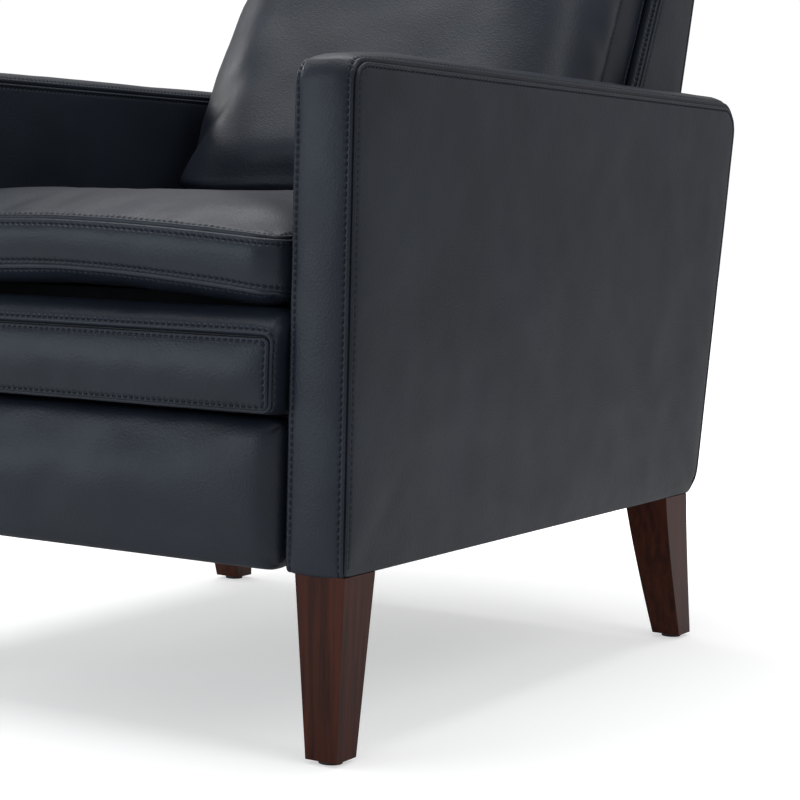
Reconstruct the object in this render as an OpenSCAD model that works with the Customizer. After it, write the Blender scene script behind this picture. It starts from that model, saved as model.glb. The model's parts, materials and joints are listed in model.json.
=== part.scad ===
// Push-back recliner armchair on tapered wooden legs.
//
// Millimetres, +Z up. The chair faces -Y, and left and right are as seen from the front,
// so +X is the right-hand arm. Every Y below is measured from the front plane of the arms;
// place() then moves the whole chair so that the origin is under the middle of its box.

/* [Overall] */
// Width over the two arms
overall_w = 658; // [640:1:680]
// Height of the back
overall_h = 1008; // [980:1:1030]
// Underside of the arms, which is the top of the legs
body_z = 170; // [150:1:190]

/* [Arms] */
// Thickness of one arm
arm_w = 63; // [56:1:70]
// Top of the arms
arm_top_z = 633; // [610:1:650]
// Length of an arm along its top
arm_top_d = 886; // [860:1:900]
// Length of an arm along its underside
arm_bottom_d = 782; // [760:1:800]
// Leather and wadding around an arm
arm_skin = 6; // [4:1:9]

/* [Seat] */
// Front of the seat cushion, ahead of the arms
seat_overhang = 18; // [10:1:24]
// Rear end of the seat cushion
seat_cushion_rear = 535; // [515:1:538]
// Crown of the seat cushion
seat_top_z = 504; // [495:1:515]
// Seam between the crown and the boxing of the seat cushion
seat_seam_z = 482; // [475:1:490]
// Underside of the seat cushion
seat_bottom_z = 415; // [413:1:420]

/* [Back] */
// Lean of the front of the back frame from the vertical
back_lean = 26; // [24:0.5:28]
// Lean of the rear of the back frame from the vertical
back_rear_lean = 15.5; // [14:0.5:17]
// Thickness of the boxing at the sides of the back cushion
back_boxing = 64; // [55:1:70]
// Crown of the back cushion ahead of its boxing
back_crown = 86; // [60:1:95]

/* [Footrest] */
// Front of the footrest pad, ahead of the arms
pad_overhang = 27; // [20:1:30]
// Top of the footrest pad
pad_top_z = 407; // [400:1:409]
// Underside of the footrest pad, and top of the smooth panel below it
pad_bottom_z = 307; // [300:1:315]

/* [Linkage] */
// Length between the pivots of the drive and carrier links
link_l = 145; // [140:1:148]
// Folded angle between a link and the line along which the footrest travels
fold_angle = 80; // [78:1:82]
// Slope of that line below the horizontal
travel_slope = 9; // [6:1:11]
// Height of the drive pivot
drive_pivot_z = 335; // [333:1:336]

/* [Legs] */
// Side of a front leg at its top
leg_top = 52; // [46:1:56]
// Side of a front leg at its foot
leg_foot = 33; // [28:1:38]

/* [Hidden] */

$fn = 48;
LEFT = -1;
RIGHT = 1;
SIDES = [LEFT, RIGHT];
OVERCUT = 1;         // how far a cutter runs past the face it cuts
GAP = 0.3;           // least air between pieces that slide past each other

// Widths
half_w = overall_w / 2;
arm_inner_x = half_w - arm_w;
soft_half_w = arm_inner_x - 3;      // cushions and footrest between the arms
back_half_w = arm_inner_x - 7;      // the back also has to swing between the arms

// Layers of the folding mechanism, counted inwards from the side rails of the seat
plate_x = 231;                      // inner face of the mechanism plates
plate_t = 3;
rail_x = plate_x + plate_t;         // inner face of the side rails
rail_w = 24;
link_t = 4;
layer = link_t + 1.5;
drive_x = plate_x - layer;          // inner face of the drive links and footrest brackets
carrier_x = drive_x - layer;
guide_x = carrier_x - layer;
link_r = 11;                        // round ends of the links
pin_r = 5;
bore_r = pin_r + 0.05;              // running clearance of 0.05 mm around a pin

// Folding mechanism, as [Y, Z] points. The drive and carrier links are equally long, so the
// footrest pivot stays on one straight line while the knee between them opens.
forward = [-cos(travel_slope), -sin(travel_slope)];
upward = [-sin(travel_slope), cos(travel_slope)];
function along(angle) = cos(angle) * forward + sin(angle) * upward;
drive_pivot = [112, drive_pivot_z];
knee = drive_pivot + link_l * along(-fold_angle);
footrest_pivot = knee + link_l * along(fold_angle);
guide_tail = 20;                    // from the knee to the guide pin on the carrier link
guide_pin = knee + guide_tail * along(fold_angle);
guide_from_drive = [12, 45.8];       // from the drive pivot, along the travel and square to it
guide_pivot = drive_pivot + guide_from_drive[0] * forward + guide_from_drive[1] * upward;
guide_pin_r = 4;
guide_hole_r = 8.5;                 // the guide link has play around its pin
guide_eye_r = guide_hole_r + 5;
guide_head_r = guide_hole_r + 3;    // wider than the hole, so that the link stays on its pin
tube_pivot = drive_pivot + [40, 0];
tube_r = 9.5;
tube_wall = 2;
link_head_r = 8;

// Seat frame
seat_frame_z = 372;
seat_frame_top = 410;
seat_frame_front = 62;
seat_frame_rear = 560;
seat_rail_t = 22;

// Back. Points on the front and rear faces of the back frame at a given height.
back_ref_z = 645;
back_front_ref = 752;
back_rear_ref = 872;
back_bottom_z = 356;
function back_front_y(z) = back_front_ref + (z - back_ref_z) * tan(back_lean);
function back_rear_y(z) = back_rear_ref + (z - back_ref_z) * tan(back_rear_lean);
back_pivot = [648, 396];
stile_w = 21;
stile_x = back_half_w - stile_w;
bracket_t = 2.6;
panel_t = 9;                        // outside panel with its wadding

back_outline = round_corners([
  [back_front_y(back_bottom_z), back_bottom_z, 12], [back_rear_y(back_bottom_z), back_bottom_z, 14],
  [back_rear_y(overall_h), overall_h, 16], [back_front_y(overall_h), overall_h, 14]
]);

// The chair's box runs from the front of the footrest pad to the rearmost point of the back
front_y = -pad_overhang;
rear_y = max([for (p = back_outline) p.x]);
mid_y = (front_y + rear_y) / 2;

// Arm outline. The rear edge leans, and its corners are softer than the front ones.
arm_outline = round_corners([
  [0, body_z, 4], [arm_bottom_d, body_z, 30], [arm_top_d, arm_top_z, 34], [0, arm_top_z, 18]
]);
arm_core_d = 770;

// Legs
glide_h = 4;
rear_leg_foot = [34, 31];
heel_d = 58;                        // depth of a rear leg at its top
leg_heel = 756;                     // rear edge of a rear leg where it meets the arm
leg_sweep = 23;                     // how far its foot stands behind that

// ---------------------------------------------------------------- helpers

function unit(v) = v / norm(v);

// Outline whose corners are arcs. Each entry is [x, y, radius].
function round_corners(points, steps = 6) = [
  for (i = [0:len(points) - 1])
    each corner_arc(points[(i + len(points) - 1) % len(points)], points[i],
                    points[(i + 1) % len(points)], steps)
];

// Arc that replaces corner b between its neighbours a and c
function corner_arc(a, b, c, steps) =
  let (
    corner = [b.x, b.y],
    to_a = unit([a.x, a.y] - corner),
    to_c = unit([c.x, c.y] - corner),
    half = acos(to_a * to_c) / 2,
    centre = corner + unit(to_a + to_c) * b.z / sin(half),
    start = corner + to_a * b.z / tan(half) - centre,
    turn = (90 - half) * 2,
    side = sign(to_c.x * to_a.y - to_c.y * to_a.x)
  )
  [for (k = [0:steps])
    let (t = side * turn * k / steps)
    centre + [start.x * cos(t) - start.y * sin(t), start.x * sin(t) + start.y * cos(t)]];

// Moves the chair from the arm's front plane to its own origin
module place() translate([0, -mid_y, 0]) children();

// Extrudes a [Y, Z] outline from x0 to x1
module across(x0, x1) translate([min(x0, x1), 0, 0]) rotate([90, 0, 90])
  linear_extrude(abs(x1 - x0)) children();

// Box between two corners
module box(low, high) translate(low) cube(high - low);

// Box that spans x0 to x1 on one side of the chair
module side_box(side, x0, x1, y, z)
  box([min(side * x0, side * x1), y[0], z[0]], [max(side * x0, side * x1), y[1], z[1]]);

// Round pin along X at a [Y, Z] point, on one side of the chair
module pin(side, x0, x1, at, r)
  across(side * x0, side * x1) translate(at) circle(r);

function heading(v) = atan2(v.y, v.x);

// Outline of a plate with a round end of radius r at each centre, listed anticlockwise
function belt(centres, r, steps = 9) = [
  for (i = [0:len(centres) - 1])
    let (
      here = centres[i],
      before = heading(here - centres[(i + len(centres) - 1) % len(centres)]),
      after = heading(centres[(i + 1) % len(centres)] - here),
      turn = (after - before + 720) % 360
    )
    for (k = [0:steps])
      let (t = before - 90 + turn * k / steps)
      here + r * [cos(t), sin(t)]
];

// ---------------------------------------------------------------- arms

// Leather shell of an arm, open underneath
module arm_cover(side) place() difference() {
  across(side * arm_inner_x, side * half_w) polygon(arm_outline);
  side_box(side, arm_inner_x + arm_skin, half_w - arm_skin, [arm_skin, arm_core_d],
           [body_z - OVERCUT, arm_top_z - arm_skin]);
}

// Wadding on both faces and the top of the wooden panel
arm_foam_side = 13;
arm_foam_top = 20;
panel_x0 = arm_inner_x + arm_skin + arm_foam_side;
panel_x1 = half_w - arm_skin - arm_foam_side;
panel_top = arm_top_z - arm_skin - arm_foam_top;

module arm_foam(side) place() difference() {
  side_box(side, arm_inner_x + arm_skin, half_w - arm_skin, [arm_skin, arm_core_d],
           [body_z + 4, arm_top_z - arm_skin]);
  side_box(side, panel_x0, panel_x1, [arm_skin - OVERCUT, arm_core_d + OVERCUT],
           [body_z, panel_top]);
}

module arm_panel(side) place() difference() {
  side_box(side, panel_x0, panel_x1, [arm_skin, arm_core_d], [body_z, panel_top]);
  leg_bolt_holes(side);
}

module arm_left_cover() color([0.13, 0.15, 0.19]) arm_cover(LEFT);
module arm_right_cover() color([0.13, 0.15, 0.19]) arm_cover(RIGHT);
module arm_left_foam() color([0.9, 0.88, 0.8]) arm_foam(LEFT);
module arm_right_foam() color([0.9, 0.88, 0.8]) arm_foam(RIGHT);
module arm_left_panel() color([0.78, 0.64, 0.44]) arm_panel(LEFT);
module arm_right_panel() color([0.78, 0.64, 0.44]) arm_panel(RIGHT);

// ---------------------------------------------------------------- base between the arms

front_rail_y = [184, 206];
rear_rail_y = [700, 722];
rail_low_z = body_z + 6;
front_rail_top = 244;
rear_rail_top = 256;

module base_front_rail() color([0.78, 0.64, 0.44]) place()
  box([-arm_inner_x, front_rail_y[0], rail_low_z], [arm_inner_x, front_rail_y[1], front_rail_top]);

module base_rear_rail() color([0.78, 0.64, 0.44]) place()
  box([-arm_inner_x, rear_rail_y[0], rail_low_z], [arm_inner_x, rear_rail_y[1], rear_rail_top]);

// Upholstered board that closes the rear below the back
apron_y = [764, 779];
apron_lean = 2;                     // how much further back its top stands
apron_low_z = body_z + 2;
apron_top = 328;
module rear_apron() color([0.13, 0.15, 0.19]) place()
  across(-arm_inner_x, arm_inner_x) polygon(round_corners([
    [apron_y[0], apron_low_z, 2], [apron_y[1], apron_low_z, 3],
    [apron_y[1] + apron_lean, apron_top, 6], [apron_y[0] + apron_lean, apron_top, 5]
  ]));

// Triangular blocks glued into the corners of the base
block_leg = 46;
block_h = 40;
module corner_blocks() color([0.74, 0.6, 0.4]) place()
  for (side = SIDES, end = [[front_rail_y[1], 1], [rear_rail_y[0], -1]])
    translate([side * arm_inner_x, end[0], rail_low_z]) linear_extrude(block_h)
      polygon([[0, 0], [-side * block_leg, 0], [0, end[1] * block_leg]]);

// Cloth stapled under the base, behind the footrest
cloth_t = 2;
module dust_cover() color([0.08, 0.08, 0.08]) place()
  box([-arm_inner_x, front_rail_y[0], rail_low_z - cloth_t], [arm_inner_x, apron_y[0], rail_low_z]);

// ---------------------------------------------------------------- legs

leg_low_z = glide_h;
front_foot_in = [6, 3];             // how far a front foot's outer corner stands in

end_slice = 0.1;                    // thin slice that gives each end of a front leg its size

// Front leg: square, tapered most on its inner and rear faces
module front_leg(side) color([0.23, 0.1, 0.07]) place() difference() {
  hull() {
    side_box(side, half_w - leg_top, half_w, [0, leg_top], [body_z - end_slice, body_z]);
    side_box(side, half_w - front_foot_in.x - leg_foot, half_w - front_foot_in.x,
             [front_foot_in.y, front_foot_in.y + leg_foot], [leg_low_z, leg_low_z + end_slice]);
  }
  leg_bolt_holes(side);
}

// How far back the sabre leg has swept at a height: none at the top, most at the foot
sweep_power = 1.25;
function sweep(z, reach) = reach * pow(1 - (z - leg_low_z) / (body_z - leg_low_z), sweep_power);
sabre_steps = 14;
sabre_heights = [for (k = [0:sabre_steps]) leg_low_z + (body_z - leg_low_z) * k / sabre_steps];
sabre_outline = concat(
  [for (z = sabre_heights) [leg_heel + sweep(z, leg_sweep), z]],
  [for (k = [sabre_steps:-1:0])
    let (z = sabre_heights[k])
    [leg_heel - heel_d + sweep(z, leg_sweep + heel_d - rear_leg_foot.y), z]]
);

// Rear leg: swept back like a sabre, flat outside and tapered inside
module rear_leg(side) color([0.23, 0.1, 0.07]) place() difference() {
  intersection() {
    across(side * (half_w - leg_top), side * half_w) polygon(sabre_outline);
    translate([0, leg_heel + heel_d, 0]) rotate([90, 0, 0]) linear_extrude(3 * heel_d)
      polygon([[side * (half_w - leg_top), body_z], [side * half_w, body_z],
               [side * half_w, leg_low_z], [side * (half_w - rear_leg_foot.x), leg_low_z]]);
  }
  leg_bolt_holes(side);
}

module front_left_leg() front_leg(LEFT);
module front_right_leg() front_leg(RIGHT);
module rear_left_leg() rear_leg(LEFT);
module rear_right_leg() rear_leg(RIGHT);

front_foot = [half_w - front_foot_in.x - leg_foot / 2, front_foot_in.y + leg_foot / 2];
rear_foot = [half_w - rear_leg_foot.x / 2, leg_heel + leg_sweep - rear_leg_foot.y / 2];
glide_r = 11;

// Nail-on glides
module leg_glides() color([0.06, 0.06, 0.06]) place()
  for (side = SIDES, foot = [front_foot, rear_foot])
    translate([side * foot.x, foot.y, 0]) cylinder(r = glide_r, h = glide_h);

bolt_r = 4;
bolt_l = 84;
leg_bolt_x = (panel_x0 + panel_x1) / 2;
leg_bolt_in = 28;                   // from the front of the arm, and from the heel
leg_bolt_y = [leg_bolt_in, leg_heel - leg_bolt_in];

// Hanger bolts that screw the legs into the arm panels
module leg_hanger_bolts() color([0.7, 0.7, 0.72]) place()
  for (side = SIDES, y = leg_bolt_y)
    translate([side * leg_bolt_x, y, body_z - bolt_l / 2]) cylinder(r = bolt_r, h = bolt_l);

// The holes that those bolts fill
module leg_bolt_holes(side)
  for (y = leg_bolt_y)
    translate([side * leg_bolt_x, y, body_z - bolt_l / 2]) cylinder(r = bolt_r, h = bolt_l);

// ---------------------------------------------------------------- tracks that the seat slides on

track_y = [80, 545];
track_t = 3;
track_h = 44;
track_top = seat_frame_z - 6;
track_x0 = rail_x + 8;
track_low_z = track_top - track_h;
track_hole_y = [120, 250, 380, 510];
track_hole_z = track_top - 26;
screw_r = 3;
screw_head_r = 5.5;
screw_head_t = 2.5;

module track(side) color([0.16, 0.16, 0.17]) place() difference() {
  union() {
    side_box(side, arm_inner_x - track_t, arm_inner_x, track_y, [track_low_z, track_top]);
    side_box(side, track_x0, arm_inner_x, track_y, [track_top - track_t, track_top]);
  }
  for (y = track_hole_y) pin(side, arm_inner_x - track_t - OVERCUT, arm_inner_x + OVERCUT,
                             [y, track_hole_z], screw_r);
}

module track_left() track(LEFT);
module track_right() track(RIGHT);

module track_screws() color([0.75, 0.75, 0.76]) place()
  for (side = SIDES, y = track_hole_y) {
    pin(side, arm_inner_x - track_t, arm_inner_x, [y, track_hole_z], screw_r);
    pin(side, arm_inner_x - track_t - screw_head_t, arm_inner_x - track_t, [y, track_hole_z],
        screw_head_r);
  }

// ---------------------------------------------------------------- seat frame

module side_rail(side) color([0.78, 0.64, 0.44]) place()
  side_box(side, rail_x, rail_x + rail_w, [seat_frame_front, seat_frame_rear],
           [seat_frame_z, seat_frame_top]);

module seat_left_rail() side_rail(LEFT);
module seat_right_rail() side_rail(RIGHT);

// The front rail is shallow, because the guide links swing under it. Black cloth covers it.
seat_front_rail_h = 18;
module seat_front_rail() color([0.12, 0.12, 0.13]) place()
  box([-plate_x, seat_frame_front, seat_frame_top - seat_front_rail_h],
      [plate_x, seat_frame_front + seat_rail_t, seat_frame_top]);

module seat_rear_rail() color([0.78, 0.64, 0.44]) place()
  box([-plate_x, seat_frame_rear - seat_rail_t, seat_frame_z],
      [plate_x, seat_frame_rear, seat_frame_top]);

// Sinuous springs: bends to the left and right in turn, joined by straight runs
wire_r = 1.8;
bend_count = 20;
spring_half_w = 24;
spring_z = seat_frame_top - 9;
spring_x = [-165:82.5:165];
clip_d = 8;
spring_y0 = seat_frame_front + seat_rail_t + clip_d / 2;
spring_y1 = seat_frame_rear - seat_rail_t - clip_d / 2;
bend_pitch = (spring_y1 - spring_y0) / bend_count;
bend_r = bend_pitch / 2;

module seat_springs() color([0.55, 0.56, 0.58]) place()
  for (x = spring_x) translate([x, spring_y0, spring_z]) {
    for (k = [0:bend_count - 1]) {
      turn = k % 2 == 0 ? 1 : -1;
      translate([turn * spring_half_w, (k + 0.5) * bend_pitch, 0])
        rotate([0, 0, -90 * turn]) rotate_extrude(angle = 180, $fn = 24)
          translate([bend_r, 0]) circle(wire_r, $fn = 13);
    }
    for (k = [0:bend_count]) translate([-spring_half_w, k * bend_pitch, 0])
      rotate([0, 90, 0]) cylinder(r = wire_r, h = 2 * spring_half_w, $fn = 13);
  }

// Clips that hold the ends of the springs to the front and rear rails
module spring_clips() color([0.75, 0.75, 0.76]) place()
  for (x = spring_x, y = [spring_y0, spring_y1]) translate([x, y, spring_z]) difference() {
    cube([2 * clip_d, clip_d, clip_d + 2], center = true);
    rotate([0, 90, 0]) cylinder(r = wire_r, h = 2 * clip_d + 2 * OVERCUT, center = true, $fn = 13);
  }

// Cloth deck between the springs and the cushion
deck_half_w = rail_x + rail_w - 1;
module seat_deck() color([0.12, 0.12, 0.13]) place()
  box([-deck_half_w, seat_frame_front, seat_frame_top],
      [deck_half_w, seat_frame_rear, seat_frame_top + cloth_t]);

// ---------------------------------------------------------------- cushions

seat_outline = round_corners([
  [-seat_overhang + 4, seat_bottom_z, 10], [seat_cushion_rear, seat_bottom_z, 14],
  [seat_cushion_rear, seat_seam_z, 14], [-seat_overhang, seat_seam_z, 12]
]);
seat_crown_half_w = 183;            // flat middle of the crown
seat_crown_in = 30;                 // from its front and rear ends to the seam
seat_crown_z = [seat_seam_z - 20, seat_top_z];

module seat_cushion() color([0.16, 0.18, 0.22]) place() hull() {
  across(-soft_half_w, soft_half_w) polygon(seat_outline);
  across(-seat_crown_half_w, seat_crown_half_w)
    polygon(round_corners([
      [seat_crown_in, seat_crown_z[0], 4], [seat_cushion_rear - seat_crown_in, seat_crown_z[0], 4],
      [seat_cushion_rear - seat_crown_in, seat_crown_z[1], 10],
      [seat_crown_in, seat_crown_z[1], 14]
    ]));
}

// Blocks that run on the tracks
glide_block_l = 60;
module glide_blocks() color([0.85, 0.85, 0.82]) place()
  for (side = SIDES, y = [150, 480])
    side_box(side, track_x0, rail_x + rail_w, [y, y + glide_block_l],
             [track_top + GAP, seat_frame_z]);

// Back cushion: a boxed slab on the frame, with a crown ahead of it
back_air = 3;                       // air between the cushion and the front of the frame
cushion_low_z = 442;
cushion_high_z = overall_h - 22;
cushion_half_w = stile_x - 2;
crown_z = [522, overall_h - 110];
crown_half_w = 198;
puff_z = [545, overall_h - 60];     // stretch over which the sides of the crown bulge most
puff_half_w = 248;
flat_boxing = back_boxing / cos(back_lean);
flat_crown = back_crown / cos(back_lean);
flat_puff = [flat_boxing + 8, flat_boxing + 48];

// Outline between two heights and two depths ahead of the back frame
function back_slab(low, high, rear, front, r) = round_corners([
  [back_front_y(low) - front, low, r], [back_front_y(low) - rear, low, r],
  [back_front_y(high) - rear, high, r], [back_front_y(high) - front, high, r]
]);

module back_cushion() color([0.16, 0.18, 0.22]) place() hull() {
  across(-cushion_half_w, cushion_half_w)
    polygon(back_slab(cushion_low_z, cushion_high_z, back_air, flat_boxing, 10));
  across(-puff_half_w, puff_half_w)
    polygon(back_slab(puff_z[0], puff_z[1], flat_puff[0], flat_puff[1], 10));
  across(-crown_half_w, crown_half_w)
    polygon(back_slab(crown_z[0], crown_z[1], flat_puff[0], flat_boxing + flat_crown, 30));
}

// ---------------------------------------------------------------- mechanism plates on the seat

plate_outline = round_corners([
  [seat_frame_front + 12, seat_frame_z - 8, 8], [88, drive_pivot_z - 22, 10],
  [250, drive_pivot_z - 22, 20], [330, seat_frame_z - 6, 20], [660, seat_frame_z - 2, 14],
  [672, back_pivot.y + 18, 14], [625, back_pivot.y + 18, 14], [600, seat_frame_top - 6, 8],
  [seat_frame_front + 12, seat_frame_top - 6, 8]
]);
plate_bolt_y = [140, 300, 440, 515];
plate_bolt_z = 391;

module mechanism_plate(side) color([0.16, 0.16, 0.17]) place() difference() {
  across(side * plate_x, side * (plate_x + plate_t)) polygon(plate_outline);
  for (at = [drive_pivot, guide_pivot, back_pivot])
    pin(side, plate_x - OVERCUT, rail_x + OVERCUT, at, pin_r);
  for (y = plate_bolt_y)
    pin(side, plate_x - OVERCUT, rail_x + OVERCUT, [y, plate_bolt_z], bolt_r);
}

module mechanism_left_plate() mechanism_plate(LEFT);
module mechanism_right_plate() mechanism_plate(RIGHT);

plate_bolt_head = [6.5, 4];         // radius over the corners, and thickness
module plate_bolts() color([0.75, 0.75, 0.76]) place()
  for (side = SIDES, y = plate_bolt_y) {
    pin(side, plate_x - plate_bolt_head[1], plate_x, [y, plate_bolt_z], plate_bolt_head[0], $fn = 6);
    pin(side, plate_x, rail_x, [y, plate_bolt_z], bolt_r);
  }

// A pin with a head at each end. x0 is its inner end.
thin_head = 1.2;
flat_head = 0.8;
rivet_head_r = 7.5;
module headed_pin(side, x0, x1, at, r, head_r, head_t) {
  pin(side, x0, x1, at, r);
  pin(side, x0 - head_t, x0, at, head_r);
  pin(side, x1, x1 + head_t, at, head_r);
}

module drive_pivot_pins() color([0.7, 0.7, 0.72]) place()
  for (side = SIDES)
    headed_pin(side, drive_x - GAP, rail_x, drive_pivot, pin_r, link_head_r, thin_head);

// Shouldered pin: the guide links stand three layers in from the plates
shoulder_r = 7;
module guide_pivot_pins() color([0.7, 0.7, 0.72]) place()
  for (side = SIDES) {
    pin(side, guide_x - GAP, rail_x, guide_pivot, pin_r);
    pin(side, guide_x - GAP - thin_head, guide_x - GAP, guide_pivot, link_head_r);
    pin(side, guide_x + link_t + GAP, plate_x, guide_pivot, shoulder_r);
  }

bracket_x = stile_x - bracket_t;
module back_pivot_pins() color([0.7, 0.7, 0.72]) place()
  for (side = SIDES) {
    pin(side, plate_x, bracket_x + bracket_t + GAP, back_pivot, pin_r);
    pin(side, plate_x - 2, plate_x, back_pivot, link_head_r);
  }

// ---------------------------------------------------------------- back frame

pin_room_r = 12;                    // hollow in a stile around the end of the back pivot pin
pin_room_d = 4;

// Upholstered side of the back, with its wooden stile inside
module stile(side) color([0.13, 0.15, 0.19]) place() difference() {
  across(side * stile_x, side * back_half_w) polygon(back_outline);
  pin(side, stile_x - OVERCUT, stile_x + pin_room_d, back_pivot, pin_room_r);
}

module back_left_stile() stile(LEFT);
module back_right_stile() stile(RIGHT);

// Rear skin of the back, between the stiles
top_rail_z = overall_h - 30;
panel_reach = 60;                   // past the rear of the back, so that only its front is cut
module back_outside_panel() color([0.13, 0.15, 0.19]) place()
  across(-stile_x, stile_x) intersection() {
    polygon(back_outline);
    polygon([
      [back_rear_y(back_bottom_z) - panel_t, back_bottom_z - OVERCUT],
      [back_rear_y(back_bottom_z) + panel_reach, back_bottom_z - OVERCUT],
      [back_rear_y(overall_h) + panel_reach, top_rail_z],
      [back_rear_y(overall_h) - panel_t, top_rail_z]
    ]);
  }

// Top of the back, between the stiles
module back_top_rail() color([0.13, 0.15, 0.19]) place()
  across(-stile_x, stile_x) intersection() {
    polygon(back_outline);
    translate([0, top_rail_z]) square([2 * rear_y, overall_h - top_rail_z + OVERCUT]);
  }

lower_rail_z = [452, 500];
lower_rail_in = [6, 28];            // its faces, behind the front of the back frame
module back_lower_rail() color([0.78, 0.64, 0.44]) place()
  across(-bracket_x, bracket_x) polygon([
    [back_front_y(lower_rail_z[0]) + lower_rail_in[0], lower_rail_z[0]],
    [back_front_y(lower_rail_z[0]) + lower_rail_in[1], lower_rail_z[0]],
    [back_front_y(lower_rail_z[1]) + lower_rail_in[1], lower_rail_z[1]],
    [back_front_y(lower_rail_z[1]) + lower_rail_in[0], lower_rail_z[1]]
  ]);

// Elastic bands across the back, behind the cushion
web_w = 50;
web_t = 2;
web_z = [560:90:920];
module back_webbing() color([0.2, 0.2, 0.21]) place()
  for (z = web_z) across(-stile_x, stile_x)
    translate([back_front_y(z), z]) rotate(90 - back_lean) square([web_w, web_t]);

// Hinge brackets on the stiles, outside the mechanism plates
bracket_reach = [60, 100];
bracket_r = 17;
module back_bracket(side) color([0.16, 0.16, 0.17]) place() difference() {
  across(side * bracket_x, side * (bracket_x + bracket_t))
    polygon(belt([back_pivot, back_pivot + bracket_reach], bracket_r));
  pin(side, bracket_x - OVERCUT, bracket_x + bracket_t + OVERCUT, back_pivot, bore_r);
}

module back_left_bracket() back_bracket(LEFT);
module back_right_bracket() back_bracket(RIGHT);

// ---------------------------------------------------------------- footrest mechanism

// Drive link: a three-cornered plate whose rear corner carries the torque tube
module drive_link(side) color([0.16, 0.16, 0.17]) place() difference() {
  across(side * drive_x, side * (drive_x + link_t))
    polygon(belt([drive_pivot, knee, tube_pivot], link_r));
  pin(side, drive_x - OVERCUT, drive_x + link_t + OVERCUT, drive_pivot, bore_r);
  pin(side, drive_x - OVERCUT, drive_x + link_t + OVERCUT, knee, pin_r);
}

module drive_left_link() drive_link(LEFT);
module drive_right_link() drive_link(RIGHT);

// Tube that makes the two sides move together
module torque_tube() color([0.16, 0.16, 0.17]) place()
  across(-drive_x, drive_x) translate(tube_pivot) difference() {
    circle(tube_r);
    circle(tube_r - tube_wall);
  }

module knee_pins() color([0.7, 0.7, 0.72]) place()
  for (side = SIDES)
    headed_pin(side, carrier_x - GAP, drive_x + link_t, knee, pin_r, rivet_head_r, flat_head);

module guide_link(side) color([0.16, 0.16, 0.17]) place() difference() {
  across(side * guide_x, side * (guide_x + link_t)) {
    polygon(belt([guide_pivot, guide_pin], link_r));
    translate(guide_pin) circle(guide_eye_r);
  }
  pin(side, guide_x - OVERCUT, guide_x + link_t + OVERCUT, guide_pivot, bore_r);
  pin(side, guide_x - OVERCUT, guide_x + link_t + OVERCUT, guide_pin, guide_hole_r);
}

module guide_left_link() guide_link(LEFT);
module guide_right_link() guide_link(RIGHT);

module carrier_link(side) color([0.16, 0.16, 0.17]) place() difference() {
  across(side * carrier_x, side * (carrier_x + link_t))
    polygon(belt([knee, footrest_pivot], link_r));
  for (at = [knee, footrest_pivot])
    pin(side, carrier_x - OVERCUT, carrier_x + link_t + OVERCUT, at, bore_r);
  pin(side, carrier_x - OVERCUT, carrier_x + link_t + OVERCUT, guide_pin, guide_pin_r);
}

module carrier_left_link() carrier_link(LEFT);
module carrier_right_link() carrier_link(RIGHT);

// Pins on the carrier links that the guide links hook over
module guide_link_pins() color([0.7, 0.7, 0.72]) place()
  for (side = SIDES) {
    pin(side, guide_x - 2 * GAP, carrier_x + link_t, guide_pin, guide_pin_r);
    pin(side, guide_x - 2 * GAP - thin_head, guide_x - 2 * GAP, guide_pin, guide_head_r);
  }

// ---------------------------------------------------------------- footrest

// Board of the footrest, wrapped in black cloth, with the pad and the panel on its front
board_y = [22, 37];
board_half_w = soft_half_w - 8;
front_panel_low_z = body_z - 3;
front_panel_bulge = 16;

module footrest_board() color([0.12, 0.12, 0.13]) place()
  box([-board_half_w, board_y[0], front_panel_low_z + 10],
      [board_half_w, board_y[1], pad_top_z - 9]);

// Angle brackets behind the board, one flange on the board and one on the pivot
flange_w = 26;
flange_t = 3;
flange_z = [footrest_pivot.y - 60, footrest_pivot.y + 30];
pivot_edge = 12;                    // from the pivot to the edges of its flange
module footrest_brackets() color([0.16, 0.16, 0.17]) place()
  for (side = SIDES) difference() {
    union() {
      across(side * drive_x, side * (drive_x + link_t))
        polygon(round_corners([
          [board_y[1], flange_z[0], 3], [board_y[1] + 10, flange_z[0], 4],
          [footrest_pivot.x + pivot_edge, footrest_pivot.y - pivot_edge, 11],
          [footrest_pivot.x + pivot_edge, footrest_pivot.y + pivot_edge, 11],
          [board_y[1], flange_z[1], 6]
        ]));
      side_box(side, drive_x - flange_w, drive_x + link_t,
               [board_y[1], board_y[1] + flange_t], flange_z);
    }
    pin(side, drive_x - OVERCUT, drive_x + link_t + OVERCUT, footrest_pivot, pin_r);
  }

module footrest_pivot_pins() color([0.7, 0.7, 0.72]) place()
  for (side = SIDES)
    headed_pin(side, carrier_x - GAP, drive_x + link_t, footrest_pivot, pin_r, rivet_head_r,
               flat_head);

// Boxed pad across the top of the footrest
module footrest_pad() color([0.16, 0.18, 0.22]) place()
  across(-soft_half_w, soft_half_w) polygon(round_corners([
    [-pad_overhang, pad_bottom_z, 14], [board_y[0], pad_bottom_z, 3],
    [board_y[0], pad_top_z, 10], [-pad_overhang, pad_top_z, 18]
  ]));

// Smooth padded panel below the pad
module front_panel() color([0.13, 0.15, 0.19]) place()
  across(-soft_half_w, soft_half_w) polygon(round_corners([
    [-front_panel_bulge + 6, front_panel_low_z, 10], [board_y[0], front_panel_low_z, 3],
    [board_y[0], pad_bottom_z - 1, 3], [-front_panel_bulge, pad_bottom_z - 1, 12]
  ]));

// ---------------------------------------------------------------- one line per node

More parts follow.
